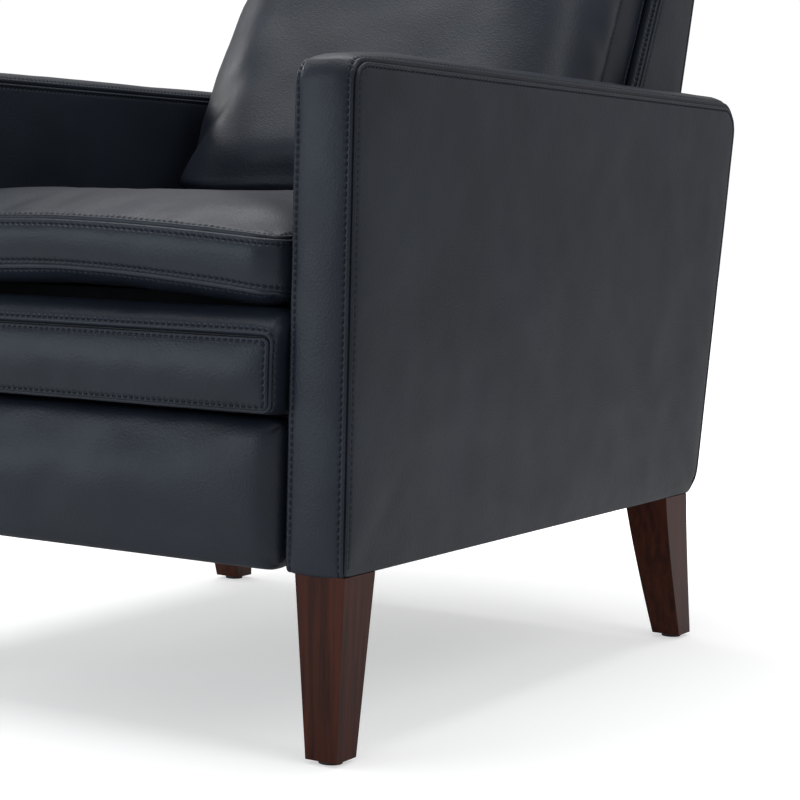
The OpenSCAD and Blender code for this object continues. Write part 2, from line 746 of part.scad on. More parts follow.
arm_left_cover();
arm_right_cover();
arm_left_foam();
arm_right_foam();
arm_left_panel();
arm_right_panel();
base_front_rail();
base_rear_rail();
rear_apron();
corner_blocks();
front_left_leg();
front_right_leg();
rear_left_leg();
rear_right_leg();
leg_hanger_bolts();
leg_glides();
dust_cover();
track_left();
track_right();
track_screws();
seat_left_rail();
seat_right_rail();
seat_front_rail();
seat_rear_rail();
seat_springs();
spring_clips();
seat_deck();
seat_cushion();
glide_blocks();
mechanism_left_plate();
mechanism_right_plate();
plate_bolts();
drive_pivot_pins();
guide_pivot_pins();
back_pivot_pins();
back_left_stile();
back_right_stile();
back_top_rail();
back_lower_rail();
back_outside_panel();
back_webbing();
back_left_bracket();
back_right_bracket();
back_cushion();
drive_left_link();
drive_right_link();
torque_tube();
knee_pins();
guide_left_link();
guide_right_link();
carrier_left_link();
carrier_right_link();
guide_link_pins();
footrest_board();
footrest_brackets();
footrest_pivot_pins();
footrest_pad();
front_panel();
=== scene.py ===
"""Looks of a push-back recliner armchair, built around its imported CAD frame.

Every length is in metres, in the frame's own axes: +Z up, and the chair faces -Y.
Each upholstered piece is a Boxed shape: two faces joined by a strip of boxing, with stitched
seams where they meet. upholster() turns the shape into a mesh and adds its stitches.
"""

import json
import math

import bpy
import numpy as np
from mathutils import Matrix, Vector, noise


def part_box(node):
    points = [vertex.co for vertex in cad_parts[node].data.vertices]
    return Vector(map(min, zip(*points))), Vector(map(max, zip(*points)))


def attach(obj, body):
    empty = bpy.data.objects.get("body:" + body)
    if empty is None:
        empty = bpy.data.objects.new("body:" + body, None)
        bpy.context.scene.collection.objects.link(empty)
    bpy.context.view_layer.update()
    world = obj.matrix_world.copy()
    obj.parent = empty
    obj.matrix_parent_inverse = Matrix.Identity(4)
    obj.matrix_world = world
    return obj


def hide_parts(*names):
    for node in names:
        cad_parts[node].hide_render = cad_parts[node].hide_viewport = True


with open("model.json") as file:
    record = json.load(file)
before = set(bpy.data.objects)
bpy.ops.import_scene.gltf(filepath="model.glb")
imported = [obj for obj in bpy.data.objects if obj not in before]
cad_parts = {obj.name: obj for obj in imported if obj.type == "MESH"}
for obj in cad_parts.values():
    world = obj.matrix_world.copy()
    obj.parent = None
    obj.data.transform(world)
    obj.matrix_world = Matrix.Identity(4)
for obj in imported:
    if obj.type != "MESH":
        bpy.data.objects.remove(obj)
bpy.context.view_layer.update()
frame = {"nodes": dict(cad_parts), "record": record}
MM = 0.001
SEAM_MAP = "seam"                   # stitches counted along a seam, and millimetres from it
STITCH_ROW = 5.3 * MM               # from the seam to each row of stitches
PUCKER_REACH = 2.8                  # millimetres either side of a row of stitches


# ---------------------------------------------------------------- node trees


class Nodes:
    """A short way to write a material's node tree."""

    def __init__(self, name):
        self.material = bpy.data.materials.new(name)
        self.material.use_nodes = True
        self.tree = self.material.node_tree
        self.shader = self.tree.nodes["Principled BSDF"]
        self.place = self.add("ShaderNodeTexCoord").outputs["Object"]

    def add(self, kind, **settings):
        node = self.tree.nodes.new(kind)
        for key, value in settings.items():
            setattr(node, key, value)
        return node

    def link(self, source, target):
        self.tree.links.new(source, target)

    def stretched(self, scale):
        """The place on the object, stretched by a scale for each axis."""
        mapping = self.add("ShaderNodeMapping")
        mapping.inputs["Scale"].default_value = scale
        self.link(self.place, mapping.inputs["Vector"])
        return mapping.outputs["Vector"]

    def noise(self, scale, detail=3.0, rough=0.5, at=None):
        node = self.add("ShaderNodeTexNoise")
        node.inputs["Scale"].default_value = scale
        node.inputs["Detail"].default_value = detail
        node.inputs["Roughness"].default_value = rough
        self.link(at or self.place, node.inputs["Vector"])
        return node.outputs["Fac"]

    def cells(self, scale):
        node = self.add("ShaderNodeTexVoronoi", feature="F1")
        node.inputs["Scale"].default_value = scale
        self.link(self.place, node.inputs["Vector"])
        return node.outputs["Distance"]

    def ramp(self, value, stops):
        """Colours at places from 0 to 1."""
        node = self.add("ShaderNodeValToRGB")
        elements = node.color_ramp.elements
        while len(elements) < len(stops):
            elements.new(0.5)
        for element, (at, colour) in zip(elements, stops):
            element.position = at
            element.color = (*colour, 1)
        self.link(value, node.inputs["Fac"])
        return node.outputs["Color"]

    def span(self, value, low, high):
        """A value from 0 to 1, mapped to a range."""
        node = self.add("ShaderNodeMapRange")
        node.inputs["To Min"].default_value = low
        node.inputs["To Max"].default_value = high
        self.link(value, node.inputs["Value"])
        return node.outputs["Result"]

    def bump(self, height, strength, distance, under=None):
        node = self.add("ShaderNodeBump")
        node.inputs["Strength"].default_value = strength
        node.inputs["Distance"].default_value = distance
        self.link(height, node.inputs["Height"])
        if under is not None:
            self.link(under, node.inputs["Normal"])
        return node.outputs["Normal"]

    def maths(self, operation, first, second=0.0):
        """Arithmetic on sockets and numbers."""
        node = self.add("ShaderNodeMath", operation=operation)
        for socket, value in zip(node.inputs, (first, second)):
            if isinstance(value, float):
                socket.default_value = value
            else:
                self.link(value, socket)
        return node.outputs["Value"]

    def seam_place(self):
        """Stitches along the nearest seam as X, and millimetres away from it as Y."""
        place = self.add("ShaderNodeSeparateXYZ")
        self.link(self.add("ShaderNodeUVMap", uv_map=SEAM_MAP).outputs["UV"], place.inputs[0])
        return place

    def painted_crease_shade(self, near, far):
        """Painted shade in the crease of a seam: 0 in the crease, where it takes a colour to black, and 1
        beyond it.
        """
        rise = self.add("ShaderNodeMapRange", interpolation_type="SMOOTHSTEP")
        rise.inputs["From Min"].default_value = near
        rise.inputs["From Max"].default_value = far
        self.link(self.seam_place().outputs["Y"], rise.inputs["Value"])
        return rise.outputs["Result"]

    def shaded(self, colour, light):
        """A colour darkened by painted shade: scaled by a value from 0 to 1."""
        node = self.add("ShaderNodeVectorMath", operation="SCALE")
        self.link(colour, node.inputs[0])
        self.link(light, node.inputs["Scale"])
        return node.outputs["Vector"]

    def puckers(self):
        """Waves along each row of stitches: low at a stitch, high between two."""
        place = self.seam_place()
        wave = self.maths("COSINE", self.maths("MULTIPLY", place.outputs["X"], 2 * math.pi))
        off_row = self.maths("SUBTRACT", place.outputs["Y"], STITCH_ROW / MM)
        band = self.add("ShaderNodeMapRange", interpolation_type="SMOOTHSTEP")
        self.link(self.maths("ABSOLUTE", off_row), band.inputs["Value"])
        band.inputs["From Max"].default_value = PUCKER_REACH
        band.inputs["To Min"].default_value = 1
        band.inputs["To Max"].default_value = 0
        return self.maths("MULTIPLY", wave, band.outputs["Result"])

    def set(self, **values):
        for key, value in values.items():
            self.shader.inputs[key.replace("_", " ")].default_value = value


# ---------------------------------------------------------------- camera, floor and light

CAMERA_AT = (1.3282, -2.0981, 0.4964)
CAMERA_YAW, CAMERA_PITCH, CAMERA_ROLL = (math.radians(a) for a in (32.34, 3.0, 1.24))
CAMERA_LENS = 98.98
CAMERA_SHIFT = (0.1, -0.1)


def make_camera():
    """Camera that looks at the chair's right front corner, at the height of the seat."""
    forward = Vector((
        -math.sin(CAMERA_YAW) * math.cos(CAMERA_PITCH),
        math.cos(CAMERA_YAW) * math.cos(CAMERA_PITCH),
        -math.sin(CAMERA_PITCH),
    ))
    level = Vector((math.cos(CAMERA_YAW), math.sin(CAMERA_YAW), 0))
    upright = level.cross(forward)
    right = math.cos(CAMERA_ROLL) * level + math.sin(CAMERA_ROLL) * upright
    up = -math.sin(CAMERA_ROLL) * level + math.cos(CAMERA_ROLL) * upright
    data = bpy.data.cameras.new("camera")
    data.lens = CAMERA_LENS
    data.shift_x, data.shift_y = CAMERA_SHIFT
    data.clip_end = 60
    camera = bpy.data.objects.new("camera", data)
    bpy.context.scene.collection.objects.link(camera)
    turn = Matrix((right, up, -forward)).transposed().to_4x4()
    camera.matrix_world = Matrix.Translation(CAMERA_AT) @ turn
    bpy.context.scene.camera = camera


FLOOR_HALF = 14.0
FLOOR_GLOW = 0.51                   # of the floor near the chair, where its shadow shows
FLOOR_FADE = (0.45, 1.5)            # from the chair's middle: the floor turns white in between
FLOOR_WHITE = 1.05
FLOOR_BOUNCE = 0.12                 # the floor's own light on the chair
SURROUND = 0.42                     # light of the surround on the chair
SURROUND_WHITE = 1.02


def make_floor():
    """Wide pale floor that fades into the white background. Its glow is painted light: weaker near the
    chair, where the chair's shadow shows, and strong enough further out to wash the shadow white; a weaker
    glow lights the chair.
    """
    half = FLOOR_HALF
    mesh = bpy.data.meshes.new("floor")
    corners = [(-half, -half, 0), (half, -half, 0), (half, half, 0), (-half, half, 0)]
    mesh.from_pydata(corners, [], [(0, 1, 2, 3)])
    floor = bpy.data.objects.new("floor", mesh)
    bpy.context.scene.collection.objects.link(floor)
    n = Nodes("floor")
    away = n.add("ShaderNodeVectorMath", operation="LENGTH")
    n.link(n.place, away.inputs[0])
    fade = n.add("ShaderNodeMapRange", interpolation_type="SMOOTHSTEP")
    fade.inputs["From Min"].default_value, fade.inputs["From Max"].default_value = FLOOR_FADE
    fade.inputs["To Min"].default_value = FLOOR_GLOW
    fade.inputs["To Max"].default_value = FLOOR_WHITE
    n.link(away.outputs["Value"], fade.inputs["Value"])
    seen = n.add("ShaderNodeMapRange")
    n.link(n.add("ShaderNodeLightPath").outputs["Is Camera Ray"], seen.inputs["Value"])
    seen.inputs["To Min"].default_value = FLOOR_BOUNCE
    n.link(fade.outputs["Result"], seen.inputs["To Max"])
    n.link(seen.outputs["Result"], n.shader.inputs["Emission Strength"])
    n.set(Base_Color=(0.68, 0.68, 0.68, 1), Emission_Color=(1, 1, 1, 1))
    n.set(Roughness=0.9, Specular_IOR_Level=0.1)
    mesh.materials.append(n.material)


def area_light(name, at, aim, size, power, colour=(1, 1, 1)):
    data = bpy.data.lights.new(name, "AREA")
    data.shape = "RECTANGLE"
    data.size, data.size_y = size
    data.energy = power
    data.color = colour
    light = bpy.data.objects.new(name, data)
    light.location = at
    light.rotation_euler = (Vector(aim) - Vector(at)).to_track_quat("-Z", "Y").to_euler()
    bpy.context.scene.collection.objects.link(light)


def make_light():
    """White studio: a bright surround, broad lights overhead and in front, and one on each side."""
    world = bpy.data.worlds.new("studio")
    world.use_nodes = True
    nodes, links = world.node_tree.nodes, world.node_tree.links
    seen = nodes.new("ShaderNodeLightPath").outputs["Is Camera Ray"]
    strength = nodes.new("ShaderNodeMapRange")
    strength.inputs["To Min"].default_value = SURROUND
    strength.inputs["To Max"].default_value = SURROUND_WHITE
    links.new(seen, strength.inputs["Value"])
    links.new(strength.outputs["Result"], nodes["Background"].inputs["Strength"])
    nodes["Background"].inputs["Color"].default_value = (1, 1, 1, 1)
    bpy.context.scene.world = world
    area_light("overhead", (-0.5, 0.1, 3.4), (0, 0.1, 0.4), (3.0, 3.0), 90)
    area_light("front_left", (-2.1, -3.5, 0.95), (0, 0, 0.5), (2.3, 1.6), 38, (0.76, 0.89, 1))
    area_light("left", (-2.7, 0.2, 1.7), (0, 0.1, 0.75), (0.7, 0.9), 12)
    area_light("right", (2.5, -0.3, 2.7), (0, 0.2, 0.7), (0.8, 1.4), 15)
    bpy.context.scene.view_settings.view_transform = "Standard"


# ---------------------------------------------------------------- materials


def leather(name, colour, roughness=0.42):
    """Smooth leather: pebbled grain, soft creases, uneven dye, a pucker at each stitch, and painted shade
    that takes its colour to black in the crease of each seam.
    """
    n = Nodes(name)
    dark = tuple(c * 0.8 for c in colour)
    light = tuple(c * 1.2 for c in colour)
    dyed = n.ramp(n.noise(9, 4), [(0.3, dark), (0.7, light)])
    # Painted shade: the base colour goes to black in the crease of each seam, within about 1 mm of it.
    n.link(n.shaded(dyed, n.painted_crease_shade(0.1, 0.9)), n.shader.inputs["Base Color"])
    n.link(n.span(n.noise(22, 4), roughness - 0.07, roughness + 0.08), n.shader.inputs["Roughness"])
    pulled = n.bump(n.puckers(), 0.7, 0.7 * MM)
    creases = n.bump(n.noise(42, 5, 0.6), 0.3, 0.7 * MM, pulled)
    pebbles = n.bump(n.cells(430), 0.42, 0.4 * MM, creases)
    pores = n.bump(n.noise(1100, 3), 0.2, 0.25 * MM, pebbles)
    n.link(pores, n.shader.inputs["Normal"])
    n.set(Specular_IOR_Level=0.27)
    return n.material


def thread(name, colour):
    """Twisted upholstery thread."""
    n = Nodes(name)
    light = tuple(c * 1.5 for c in colour)
    n.link(n.ramp(n.noise(900, 2), [(0.35, colour), (0.65, light)]), n.shader.inputs["Base Color"])
    n.link(n.bump(n.cells(1700), 0.4, 0.2 * MM), n.shader.inputs["Normal"])
    n.set(Roughness=0.7, Specular_IOR_Level=0.2)
    return n.material


def stained_wood(name, dark, light):
    """Stained hardwood with its grain along Z, under satin lacquer."""
    n = Nodes(name)
    grain = n.noise(1, 6, 0.6, n.stretched((150, 150, 7)))
    n.link(n.ramp(grain, [(0.32, dark), (0.62, light)]), n.shader.inputs["Base Color"])
    n.link(n.span(grain, 0.29, 0.43), n.shader.inputs["Roughness"])
    n.link(n.bump(grain, 0.12, 0.2 * MM), n.shader.inputs["Normal"])
    n.set(Specular_IOR_Level=0.16)
    return n.material


def raw_wood(name):
    """Plain timber and plywood of the hidden frame."""
    n = Nodes(name)
    grain = n.noise(1, 6, 0.62, n.stretched((6, 90, 90)))
    colours = [(0.3, (0.4, 0.25, 0.12)), (0.7, (0.62, 0.44, 0.25))]
    n.link(n.ramp(grain, colours), n.shader.inputs["Base Color"])
    n.link(n.bump(grain, 0.25, 0.3 * MM), n.shader.inputs["Normal"])
    n.set(Roughness=0.72)
    return n.material


def plated_steel(name):
    """Zinc-plated wire and pins."""
    n = Nodes(name)
    patches = n.cells(260)
    colours = [(0.1, (0.5, 0.5, 0.5)), (0.8, (0.66, 0.66, 0.68))]
    n.link(n.ramp(patches, colours), n.shader.inputs["Base Color"])
    n.link(n.span(n.noise(120), 0.28, 0.44), n.shader.inputs["Roughness"])
    n.set(Metallic=1.0)
    return n.material


def coated_steel(name):
    """Black powder coat over steel, with its orange-peel surface."""
    n = Nodes(name)
    spots = [(0.4, (0.014, 0.014, 0.015)), (0.7, (0.024, 0.024, 0.026))]
    n.link(n.ramp(n.noise(60), spots), n.shader.inputs["Base Color"])
    n.link(n.bump(n.noise(700, 2), 0.3, 0.15 * MM), n.shader.inputs["Normal"])
    n.set(Roughness=0.45)
    return n.material


def moulded_plastic(name):
    """Black glides with a fine moulded texture."""
    n = Nodes(name)
    spots = [(0.4, (0.012, 0.012, 0.012)), (0.7, (0.022, 0.022, 0.022))]
    n.link(n.ramp(n.noise(80), spots), n.shader.inputs["Base Color"])
    n.link(n.bump(n.noise(900, 2), 0.25, 0.12 * MM), n.shader.inputs["Normal"])
    n.set(Roughness=0.5)
    return n.material


def cambric_and_gap_shade(name):
    """Black cambric: threads that cross at right angles. Its near-black colour is also painted shade where
    it covers the board and the rail that show in the gaps round the seat and the footrest.
    """
    n = Nodes(name)
    threads = n.add("ShaderNodeTexWave", wave_type="BANDS", bands_direction="X")
    threads.inputs["Scale"].default_value = 260
    n.link(n.place, threads.inputs["Vector"])
    across = n.add("ShaderNodeTexWave", wave_type="BANDS", bands_direction="Y")
    across.inputs["Scale"].default_value = 260
    n.link(n.place, across.inputs["Vector"])
    # Painted shade: near-black, so that the board and rail in the gaps read as the shade there.
    colours = [(0.2, (0.003, 0.003, 0.0035)), (0.8, (0.009, 0.009, 0.01))]
    n.link(n.ramp(n.noise(40), colours), n.shader.inputs["Base Color"])
    first = n.bump(threads.outputs["Fac"], 0.4, 0.2 * MM)
    n.link(n.bump(across.outputs["Fac"], 0.4, 0.2 * MM, first), n.shader.inputs["Normal"])
    n.set(Roughness=0.9, Specular_IOR_Level=0.15)
    return n.material


def open_foam(name):
    """Cut polyurethane foam."""
    n = Nodes(name)
    colours = [(0.2, (0.62, 0.55, 0.36)), (0.8, (0.8, 0.75, 0.56))]
    n.link(n.ramp(n.cells(600), colours), n.shader.inputs["Base Color"])
    n.link(n.bump(n.cells(800), 0.6, 0.5 * MM), n.shader.inputs["Normal"])
    n.set(Roughness=0.95)
    return n.material


HIDE = (0.0129, 0.0172, 0.0262)
LEATHER = leather("leather", HIDE)
CUSHION_LEATHER = leather("cushion_leather", HIDE, 0.4)
# Painted shade: the thread is made near-black, darker than the leather, so that its colour also stands in
# for the shade in the dips where it enters the leather.
THREAD_AND_HOLE_SHADE = thread("thread", (0.007, 0.0095, 0.016))
BY_SLOT = {
    "leather": LEATHER,
    "cushion_leather": CUSHION_LEATHER,
    "foam": open_foam("foam"),
    "frame_wood": raw_wood("frame_wood"),
    "leg_wood": stained_wood("leg_wood", (0.02, 0.0045, 0.002), (0.064, 0.0135, 0.0055)),
    "steel": plated_steel("steel"),
    "black_steel": coated_steel("black_steel"),
    "glide_plastic": moulded_plastic("glide_plastic"),
    "black_cloth": cambric_and_gap_shade("black_cloth"),
}

# ---------------------------------------------------------------- upholstery

# Distances of the rows of points from a seam, and the spacing of those further in.
ROWS = tuple(r * MM for r in (0, 0.6, 1.2, 2, 2.9, 3.8, 4.6, 5.3, 6, 7.2, 9.5, 13, 18, 25, 34))
STEP = 10 * MM


def ticks(length, rows, extra):
    """Places along a length: close together near both ends, where the seams are."""
    edge = [r for r in rows if r < length / 2 - 3 * MM]
    edge = sorted(edge + [e for e in extra if e > edge[-1] + 1e-5])
    count = max(1, math.ceil((length - 2 * edge[-1]) / STEP))
    middle = np.linspace(edge[-1], length - edge[-1], count + 1)[1:-1]
    return np.concatenate([edge, middle, length - np.array(edge[::-1])])


def round_corner(a, b, r):
    """Moves points, given by their distances from two edges, onto lines that turn an arc."""
    d = np.minimum(a, b)
    t = np.maximum(a, b) - d
    left = r - d
    inside = (left > 1e-9) & (t < left)
    turn = math.pi / 4 * (1 - t / np.where(inside, left, 1))
    near, far = r - left * np.cos(turn), r - left * np.sin(turn)
    return (
        np.where(inside, np.where(a >= b, far, near), a),
        np.where(inside, np.where(a >= b, near, far), b),
    )


def dome(d, reach, power=2.2):
    """Rises from 0 at a seam to 1 at reach from it, steeply at first."""
    t = np.clip(d / reach, 0, 1)
    return (1 - (1 - t) ** power) ** (1 / power)


def smooth(t):
    """Rises from 0 to 1, level at both ends."""
    t = np.clip(t, 0, 1)
    return t * t * (3 - 2 * t)


class Face:
    """A grid on a quad with round corners. left, right, low and high are distances from its edges."""

    def __init__(self, quad, radii, rows, extra):
        self.quad = np.array(quad, float)
        p00, p10, p11, p01 = self.quad
        width = (np.linalg.norm(p10 - p00) + np.linalg.norm(p11 - p01)) / 2
        height = (np.linalg.norm(p01 - p00) + np.linalg.norm(p11 - p10)) / 2
        self.size = (width, height)
        self.radii = radii
        self.set_ticks(ticks(width, rows, extra), ticks(height, rows, extra))

    def set_ticks(self, x, y):
        width, height = self.size
        x, y = np.meshgrid(x, y, indexing="ij")
        self.left, self.right, self.low, self.high = x, width - x, y, height - y
        left, right, low, high = self.left, self.right, self.low, self.high
        r = self.radii
        px, py = round_corner(left, low, r[0])
        qx, py = round_corner(width - px, py, r[1])
        qx, qy = round_corner(qx, height - py, r[2])
        px, qy = round_corner(width - qx, qy, r[3])
        u, v = (px / width)[..., None], ((height - qy) / height)[..., None]
        p00, p10, p11, p01 = self.quad
        self.points = (1 - u) * (1 - v) * p00 + u * (1 - v) * p10 + u * v * p11 + (1 - u) * v * p01
        self.across = unit(p10 - p00 + p11 - p01)
        self.up = unit(p01 - p00 + p11 - p10)
        self.edge = np.minimum(np.minimum(left, right), np.minimum(low, high))
        self.apart = (low, right, high, left)
        self.around = (left, width + low, width + height + right, 2 * width + height + high)
        self.girth = 2 * (width + height)

    def lines(self, k):
        """Grid indices along the low, right, high and left sides, k rows in."""
        nx, ny = self.left.shape
        to_right, to_high = range(k, nx - k), range(k, ny - k)
        return (
            [(i, k) for i in to_right],
            [(nx - 1 - k, j) for j in to_high],
            [(i, ny - 1 - k) for i in reversed(to_right)],
            [(k, j) for j in reversed(to_high)],
        )

    def ring(self, k=0):
        """Grid indices once round the face, k rows in."""
        nx, ny = self.left.shape
        return (
            [(i, k) for i in range(k, nx - 1 - k)]
            + [(nx - 1 - k, j) for j in range(k, ny - 1 - k)]
            + [(i, ny - 1 - k) for i in range(nx - 1 - k, k, -1)]
            + [(k, j) for j in range(ny - 1 - k, k, -1)]
        )

    def ring_places(self):
        """How far round the face each point of its ring lies."""
        return np.concatenate([
            [around[spot] for spot in line[:-1]] for around, line in zip(self.around, self.lines(0))
        ])

    def seam_map(self, count, share):
        """For the corners of each quad: stitches counted round the face, and millimetres in."""
        apart, around = (np.stack([corners_of(f) for f in fields]) for fields in (self.apart, self.around))
        nearest = apart.mean(-1).argmin(0)[None, ..., None]
        apart, around = (np.take_along_axis(f, nearest, 0)[0] for f in (apart, around))
        unsewn = 1 - corners_of(share)
        return np.stack([around / self.girth * count, apart / MM + 1000 * unsewn], -1).reshape(-1, 4, 2)

    def by_side(self, sides):
        """One value for each edge (low, right, high, left), turned into a smooth field."""
        weights = [np.exp(-d / (4 * MM)) + 1e-12 for d in (self.low, self.right, self.high, self.left)]
        return sum(w * s for w, s in zip(weights, sides)) / sum(weights)


def corners_of(values):
    """The four corners of each quad of a grid."""
    return np.stack([values[:-1, :-1], values[1:, :-1], values[1:, 1:], values[:-1, 1:]], -1)


def unit(v):
    """Vectors scaled to length 1."""
    return v / np.linalg.norm(v, axis=-1, keepdims=True)


def mound(d, reach, power=2.6):
    """Rises from 0 at a seam to 1 at reach from it, at an even slope at first."""
    return 1 - (1 - np.clip(d / reach, 0, 1)) ** power


def straight_out(lift):
    """A crown's lift with no movement across or up the face."""
    return lift, 0 * lift, 0 * lift


def pillow(height, reach, power=2.2, rising=dome):
    """Crown of a face, which rises by height within reach of each edge."""
    def crown(face):
        lift = height
        for distance in (face.low, face.right, face.high, face.left):
            lift = lift * rising(distance, reach, power)
        return straight_out(lift)

    return crown


def bulge_out(d, reach):
    """How far a puffed edge stands out: 1 a little way in from the seam, and 0 at it and at reach."""
    t = np.clip(d / reach, 0, 1)
    return 9.48 * t * (1 - t) ** 3


def seam_profile(d):
    """Height of the leather at a distance from a stitched seam: groove, ridge, stitch row, swell."""
    d = d / MM
    groove = -3.1 * np.exp(-((d / 0.95) ** 2))
    ridge = 0.7 * np.exp(-(((d - 2.8) / 1.3) ** 2))
    stitched = -0.9 * np.exp(-(((d - STITCH_ROW / MM) / 0.9) ** 2))
    swell = 0.6 * (1 - np.exp(-(np.maximum(d - STITCH_ROW / MM, 0) / 7)))
    return (groove + ridge + stitched + swell) * MM


def field(points, scale, seed):
    """Smooth noise at each point, about -0.5 to 0.5."""
    shift = Vector((seed * 3.7, seed * 1.9, seed * 5.3))
    return np.array([noise.noise(Vector(p) * scale + shift) for p in points])


class Boxed:
    """Two faces and the boxing between them, as one closed mesh."""

    def __init__(self, front, rear, radii, rows=ROWS, extra=()):
        self.front = Face(front, radii, rows, extra)
        self.rear = Face(rear, radii, rows, extra)
        shape = self.front.left.shape
        if shape != self.rear.left.shape:
            self.share_ticks(rows, extra)
        self.rows = rows

    def share_ticks(self, rows, extra):
        """Gives both faces the same number of rows, each spaced for its own size."""
        sizes = [max(a, b) for a, b in zip(self.front.size, self.rear.size)]
        base = [ticks(s, rows, extra) for s in sizes]
        for face in (self.front, self.rear):
            spaced = [respaced(b, size, rows[-1]) for b, size in zip(base, face.size)]
            face.set_ticks(*spaced)

    def build(self, crowns, bulges, sink=None):
        """Places every point. bulges are for the low, right, high and left parts of the boxing. sink
        leaves a rim of a width, and takes the rest of the front to a share of the depth."""
        front, rear = self.front, self.rear
        middle_front, middle_rear = front.quad.mean(0), rear.quad.mean(0)
        flats = [front.points.copy(), rear.points.copy()]
        for face, crown, away in (
            (front, crowns[0], middle_front - middle_rear),
            (rear, crowns[1], middle_rear - middle_front),
        ):
            normal = unit(np.cross(face.across, face.up))
            normal = normal * np.sign(normal @ away)
            face.normal = normal
            if crown:
                lift, sideways, upwards = crown(face)
                face.points = (
                    face.points
                    + lift[..., None] * normal
                    + sideways[..., None] * face.across
                    + upwards[..., None] * face.up
                )
        if sink:
            rim, share = sink
            sunk = (front.edge > rim + 1e-6)[..., None]
            front.points = np.where(sunk, flats[0] + (flats[1] - flats[0]) * share, front.points)
        ring = front.ring()
        i, j = np.array(ring).T
        a, b = flats[0][i, j], flats[1][i, j]
        width = np.linalg.norm(b - a, axis=1)
        near = [r for r in self.rows if r < width.mean() / 2 - 2 * MM]
        count = max(1, math.ceil((width.mean() - 2 * near[-1]) / STEP))
        inner = np.linspace(0, 1, count + 1)[1:-1]
        fit = np.minimum(1, 0.48 * width / near[-1])
        lines = [r * fit / width for r in near]
        first, last = lines[-1], 1 - lines[-1]
        shares = lines + [first + (last - first) * t for t in inner] + [1 - s for s in lines[::-1]]
        shares = np.array(shares)
        bulge = self.round_the_ring(front.by_side(bulges)[i, j], a, 14 * MM)
        along = unit(np.roll(a, -1, 0) - np.roll(a, 1, 0))
        outward = unit(np.cross(along, b - a))
        if (outward * (a - a.mean(0))).sum() < 0:
            outward = -outward
        swell = (1 - np.abs(2 * shares - 1) ** 2.4) ** 0.8
        self.strip = a + shares[..., None] * (b - a) + (swell * bulge)[..., None] * outward
        self.strip_from_front = shares * width
        self.strip_from_rear = (1 - shares) * width
        self.ring_index = (i, j)
        self.near = near

    @staticmethod
    def round_the_ring(values, line, spread):
        """Evens out a value given round a closed line, over a distance."""
        step = np.linalg.norm(np.roll(line, -1, 0) - line, axis=1)
        at = np.concatenate([[0], np.cumsum(step)[:-1]])
        total = step.sum()
        apart = np.abs(at[:, None] - at[None])
        apart = np.minimum(apart, total - apart)
        weight = np.exp(-((apart / spread) ** 2)) * step[None]
        return (weight @ values) / weight.sum(1)

    def assemble(self):
        """Vertices, faces, and where each vertex lies: distances from both seams."""
        nx, ny = self.front.left.shape
        grid = nx * ny
        index = np.arange(grid).reshape(nx, ny)
        i, j = self.ring_index
        rows = len(self.strip)
        count = len(i)
        strip_index = np.empty((rows, count), int)
        strip_index[0] = index[i, j]
        strip_index[-1] = index[i, j] + grid
        inner = 2 * grid + np.arange((rows - 2) * count).reshape(rows - 2, count)
        strip_index[1:-1] = inner
        front = self.front.points.reshape(-1, 3)
        rear = self.rear.points.reshape(-1, 3)
        self.points = np.concatenate([front, rear, self.strip[1:-1].reshape(-1, 3)])
        quads = corners_of(index).reshape(-1, 4)
        s0, s1 = strip_index[:-1], strip_index[1:]
        band = np.stack(
            [s0, s1, np.roll(s1, -1, 1), np.roll(s0, -1, 1)], -1
        ).reshape(-1, 4)
        self.faces = np.concatenate([quads, quads[:, ::-1] + grid, band])
        self.flipped = np.cross(self.front.across, self.front.up) @ self.front.normal < 0
        if self.flipped:
            self.faces = self.faces[:, ::-1]
        far = np.full(grid, 1.0)
        edge_front = self.front.edge.reshape(-1)
        edge_rear = self.rear.edge.reshape(-1)
        self.from_front = np.concatenate([edge_front, far, self.strip_from_front[1:-1].ravel()])
        self.from_rear = np.concatenate([far, edge_rear, self.strip_from_rear[1:-1].ravel()])
        self.index, self.strip_index, self.grid = index, strip_index, grid

    def seam_map(self, seams):
        """Where each corner of each face lies along and away from its nearest seam."""
        self.count = round(self.front.girth / STITCH_PITCH)
        front, rear = (
            face.seam_map(self.count, face.by_side(sides))
            for face, sides in zip((self.front, self.rear), seams)
        )
        band = np.where(
            (np.arange(len(self.strip) - 1) < (len(self.strip) - 1) / 2)[:, None, None, None],
            self.strip_map(self.front, self.strip_from_front, seams[0]),
            self.strip_map(self.rear, self.strip_from_rear, seams[1]),
        ).reshape(-1, 4, 2)
        total = np.concatenate([front, rear[:, ::-1], band])
        return total[:, ::-1] if self.flipped else total

    def strip_map(self, face, distance, sides):
        """The same for the boxing, from the seam of one face."""
        along = face.ring_places() / face.girth * self.count
        along = np.append(along, self.count)
        share = face.by_side(sides)[self.ring_index]
        apart = distance / MM + 1000 * (1 - share)
        apart = np.concatenate([apart, apart[:, :1]], 1)
        along = np.broadcast_to(along, apart.shape)
        return np.stack([corners_of(f) for f in (along, apart)], -1)

    def weights(self, sides):
        """Share of a seam at each vertex, from one value for each side."""
        field_front = self.front.by_side(sides)
        i, j = self.ring_index
        band = np.broadcast_to(field_front[i, j], (len(self.strip) - 2, len(i)))
        rear = self.rear.by_side(sides)
        return np.concatenate([field_front.ravel(), rear.ravel(), band.ravel()])

    def normals(self):
        """The direction out of the surface at each vertex."""
        p = self.points[self.faces]
        n = np.cross(p[:, 2] - p[:, 0], p[:, 3] - p[:, 1])
        total = np.zeros_like(self.points)
        for k in range(4):
            np.add.at(total, self.faces[:, k], n)
        return unit(total + 1e-15)


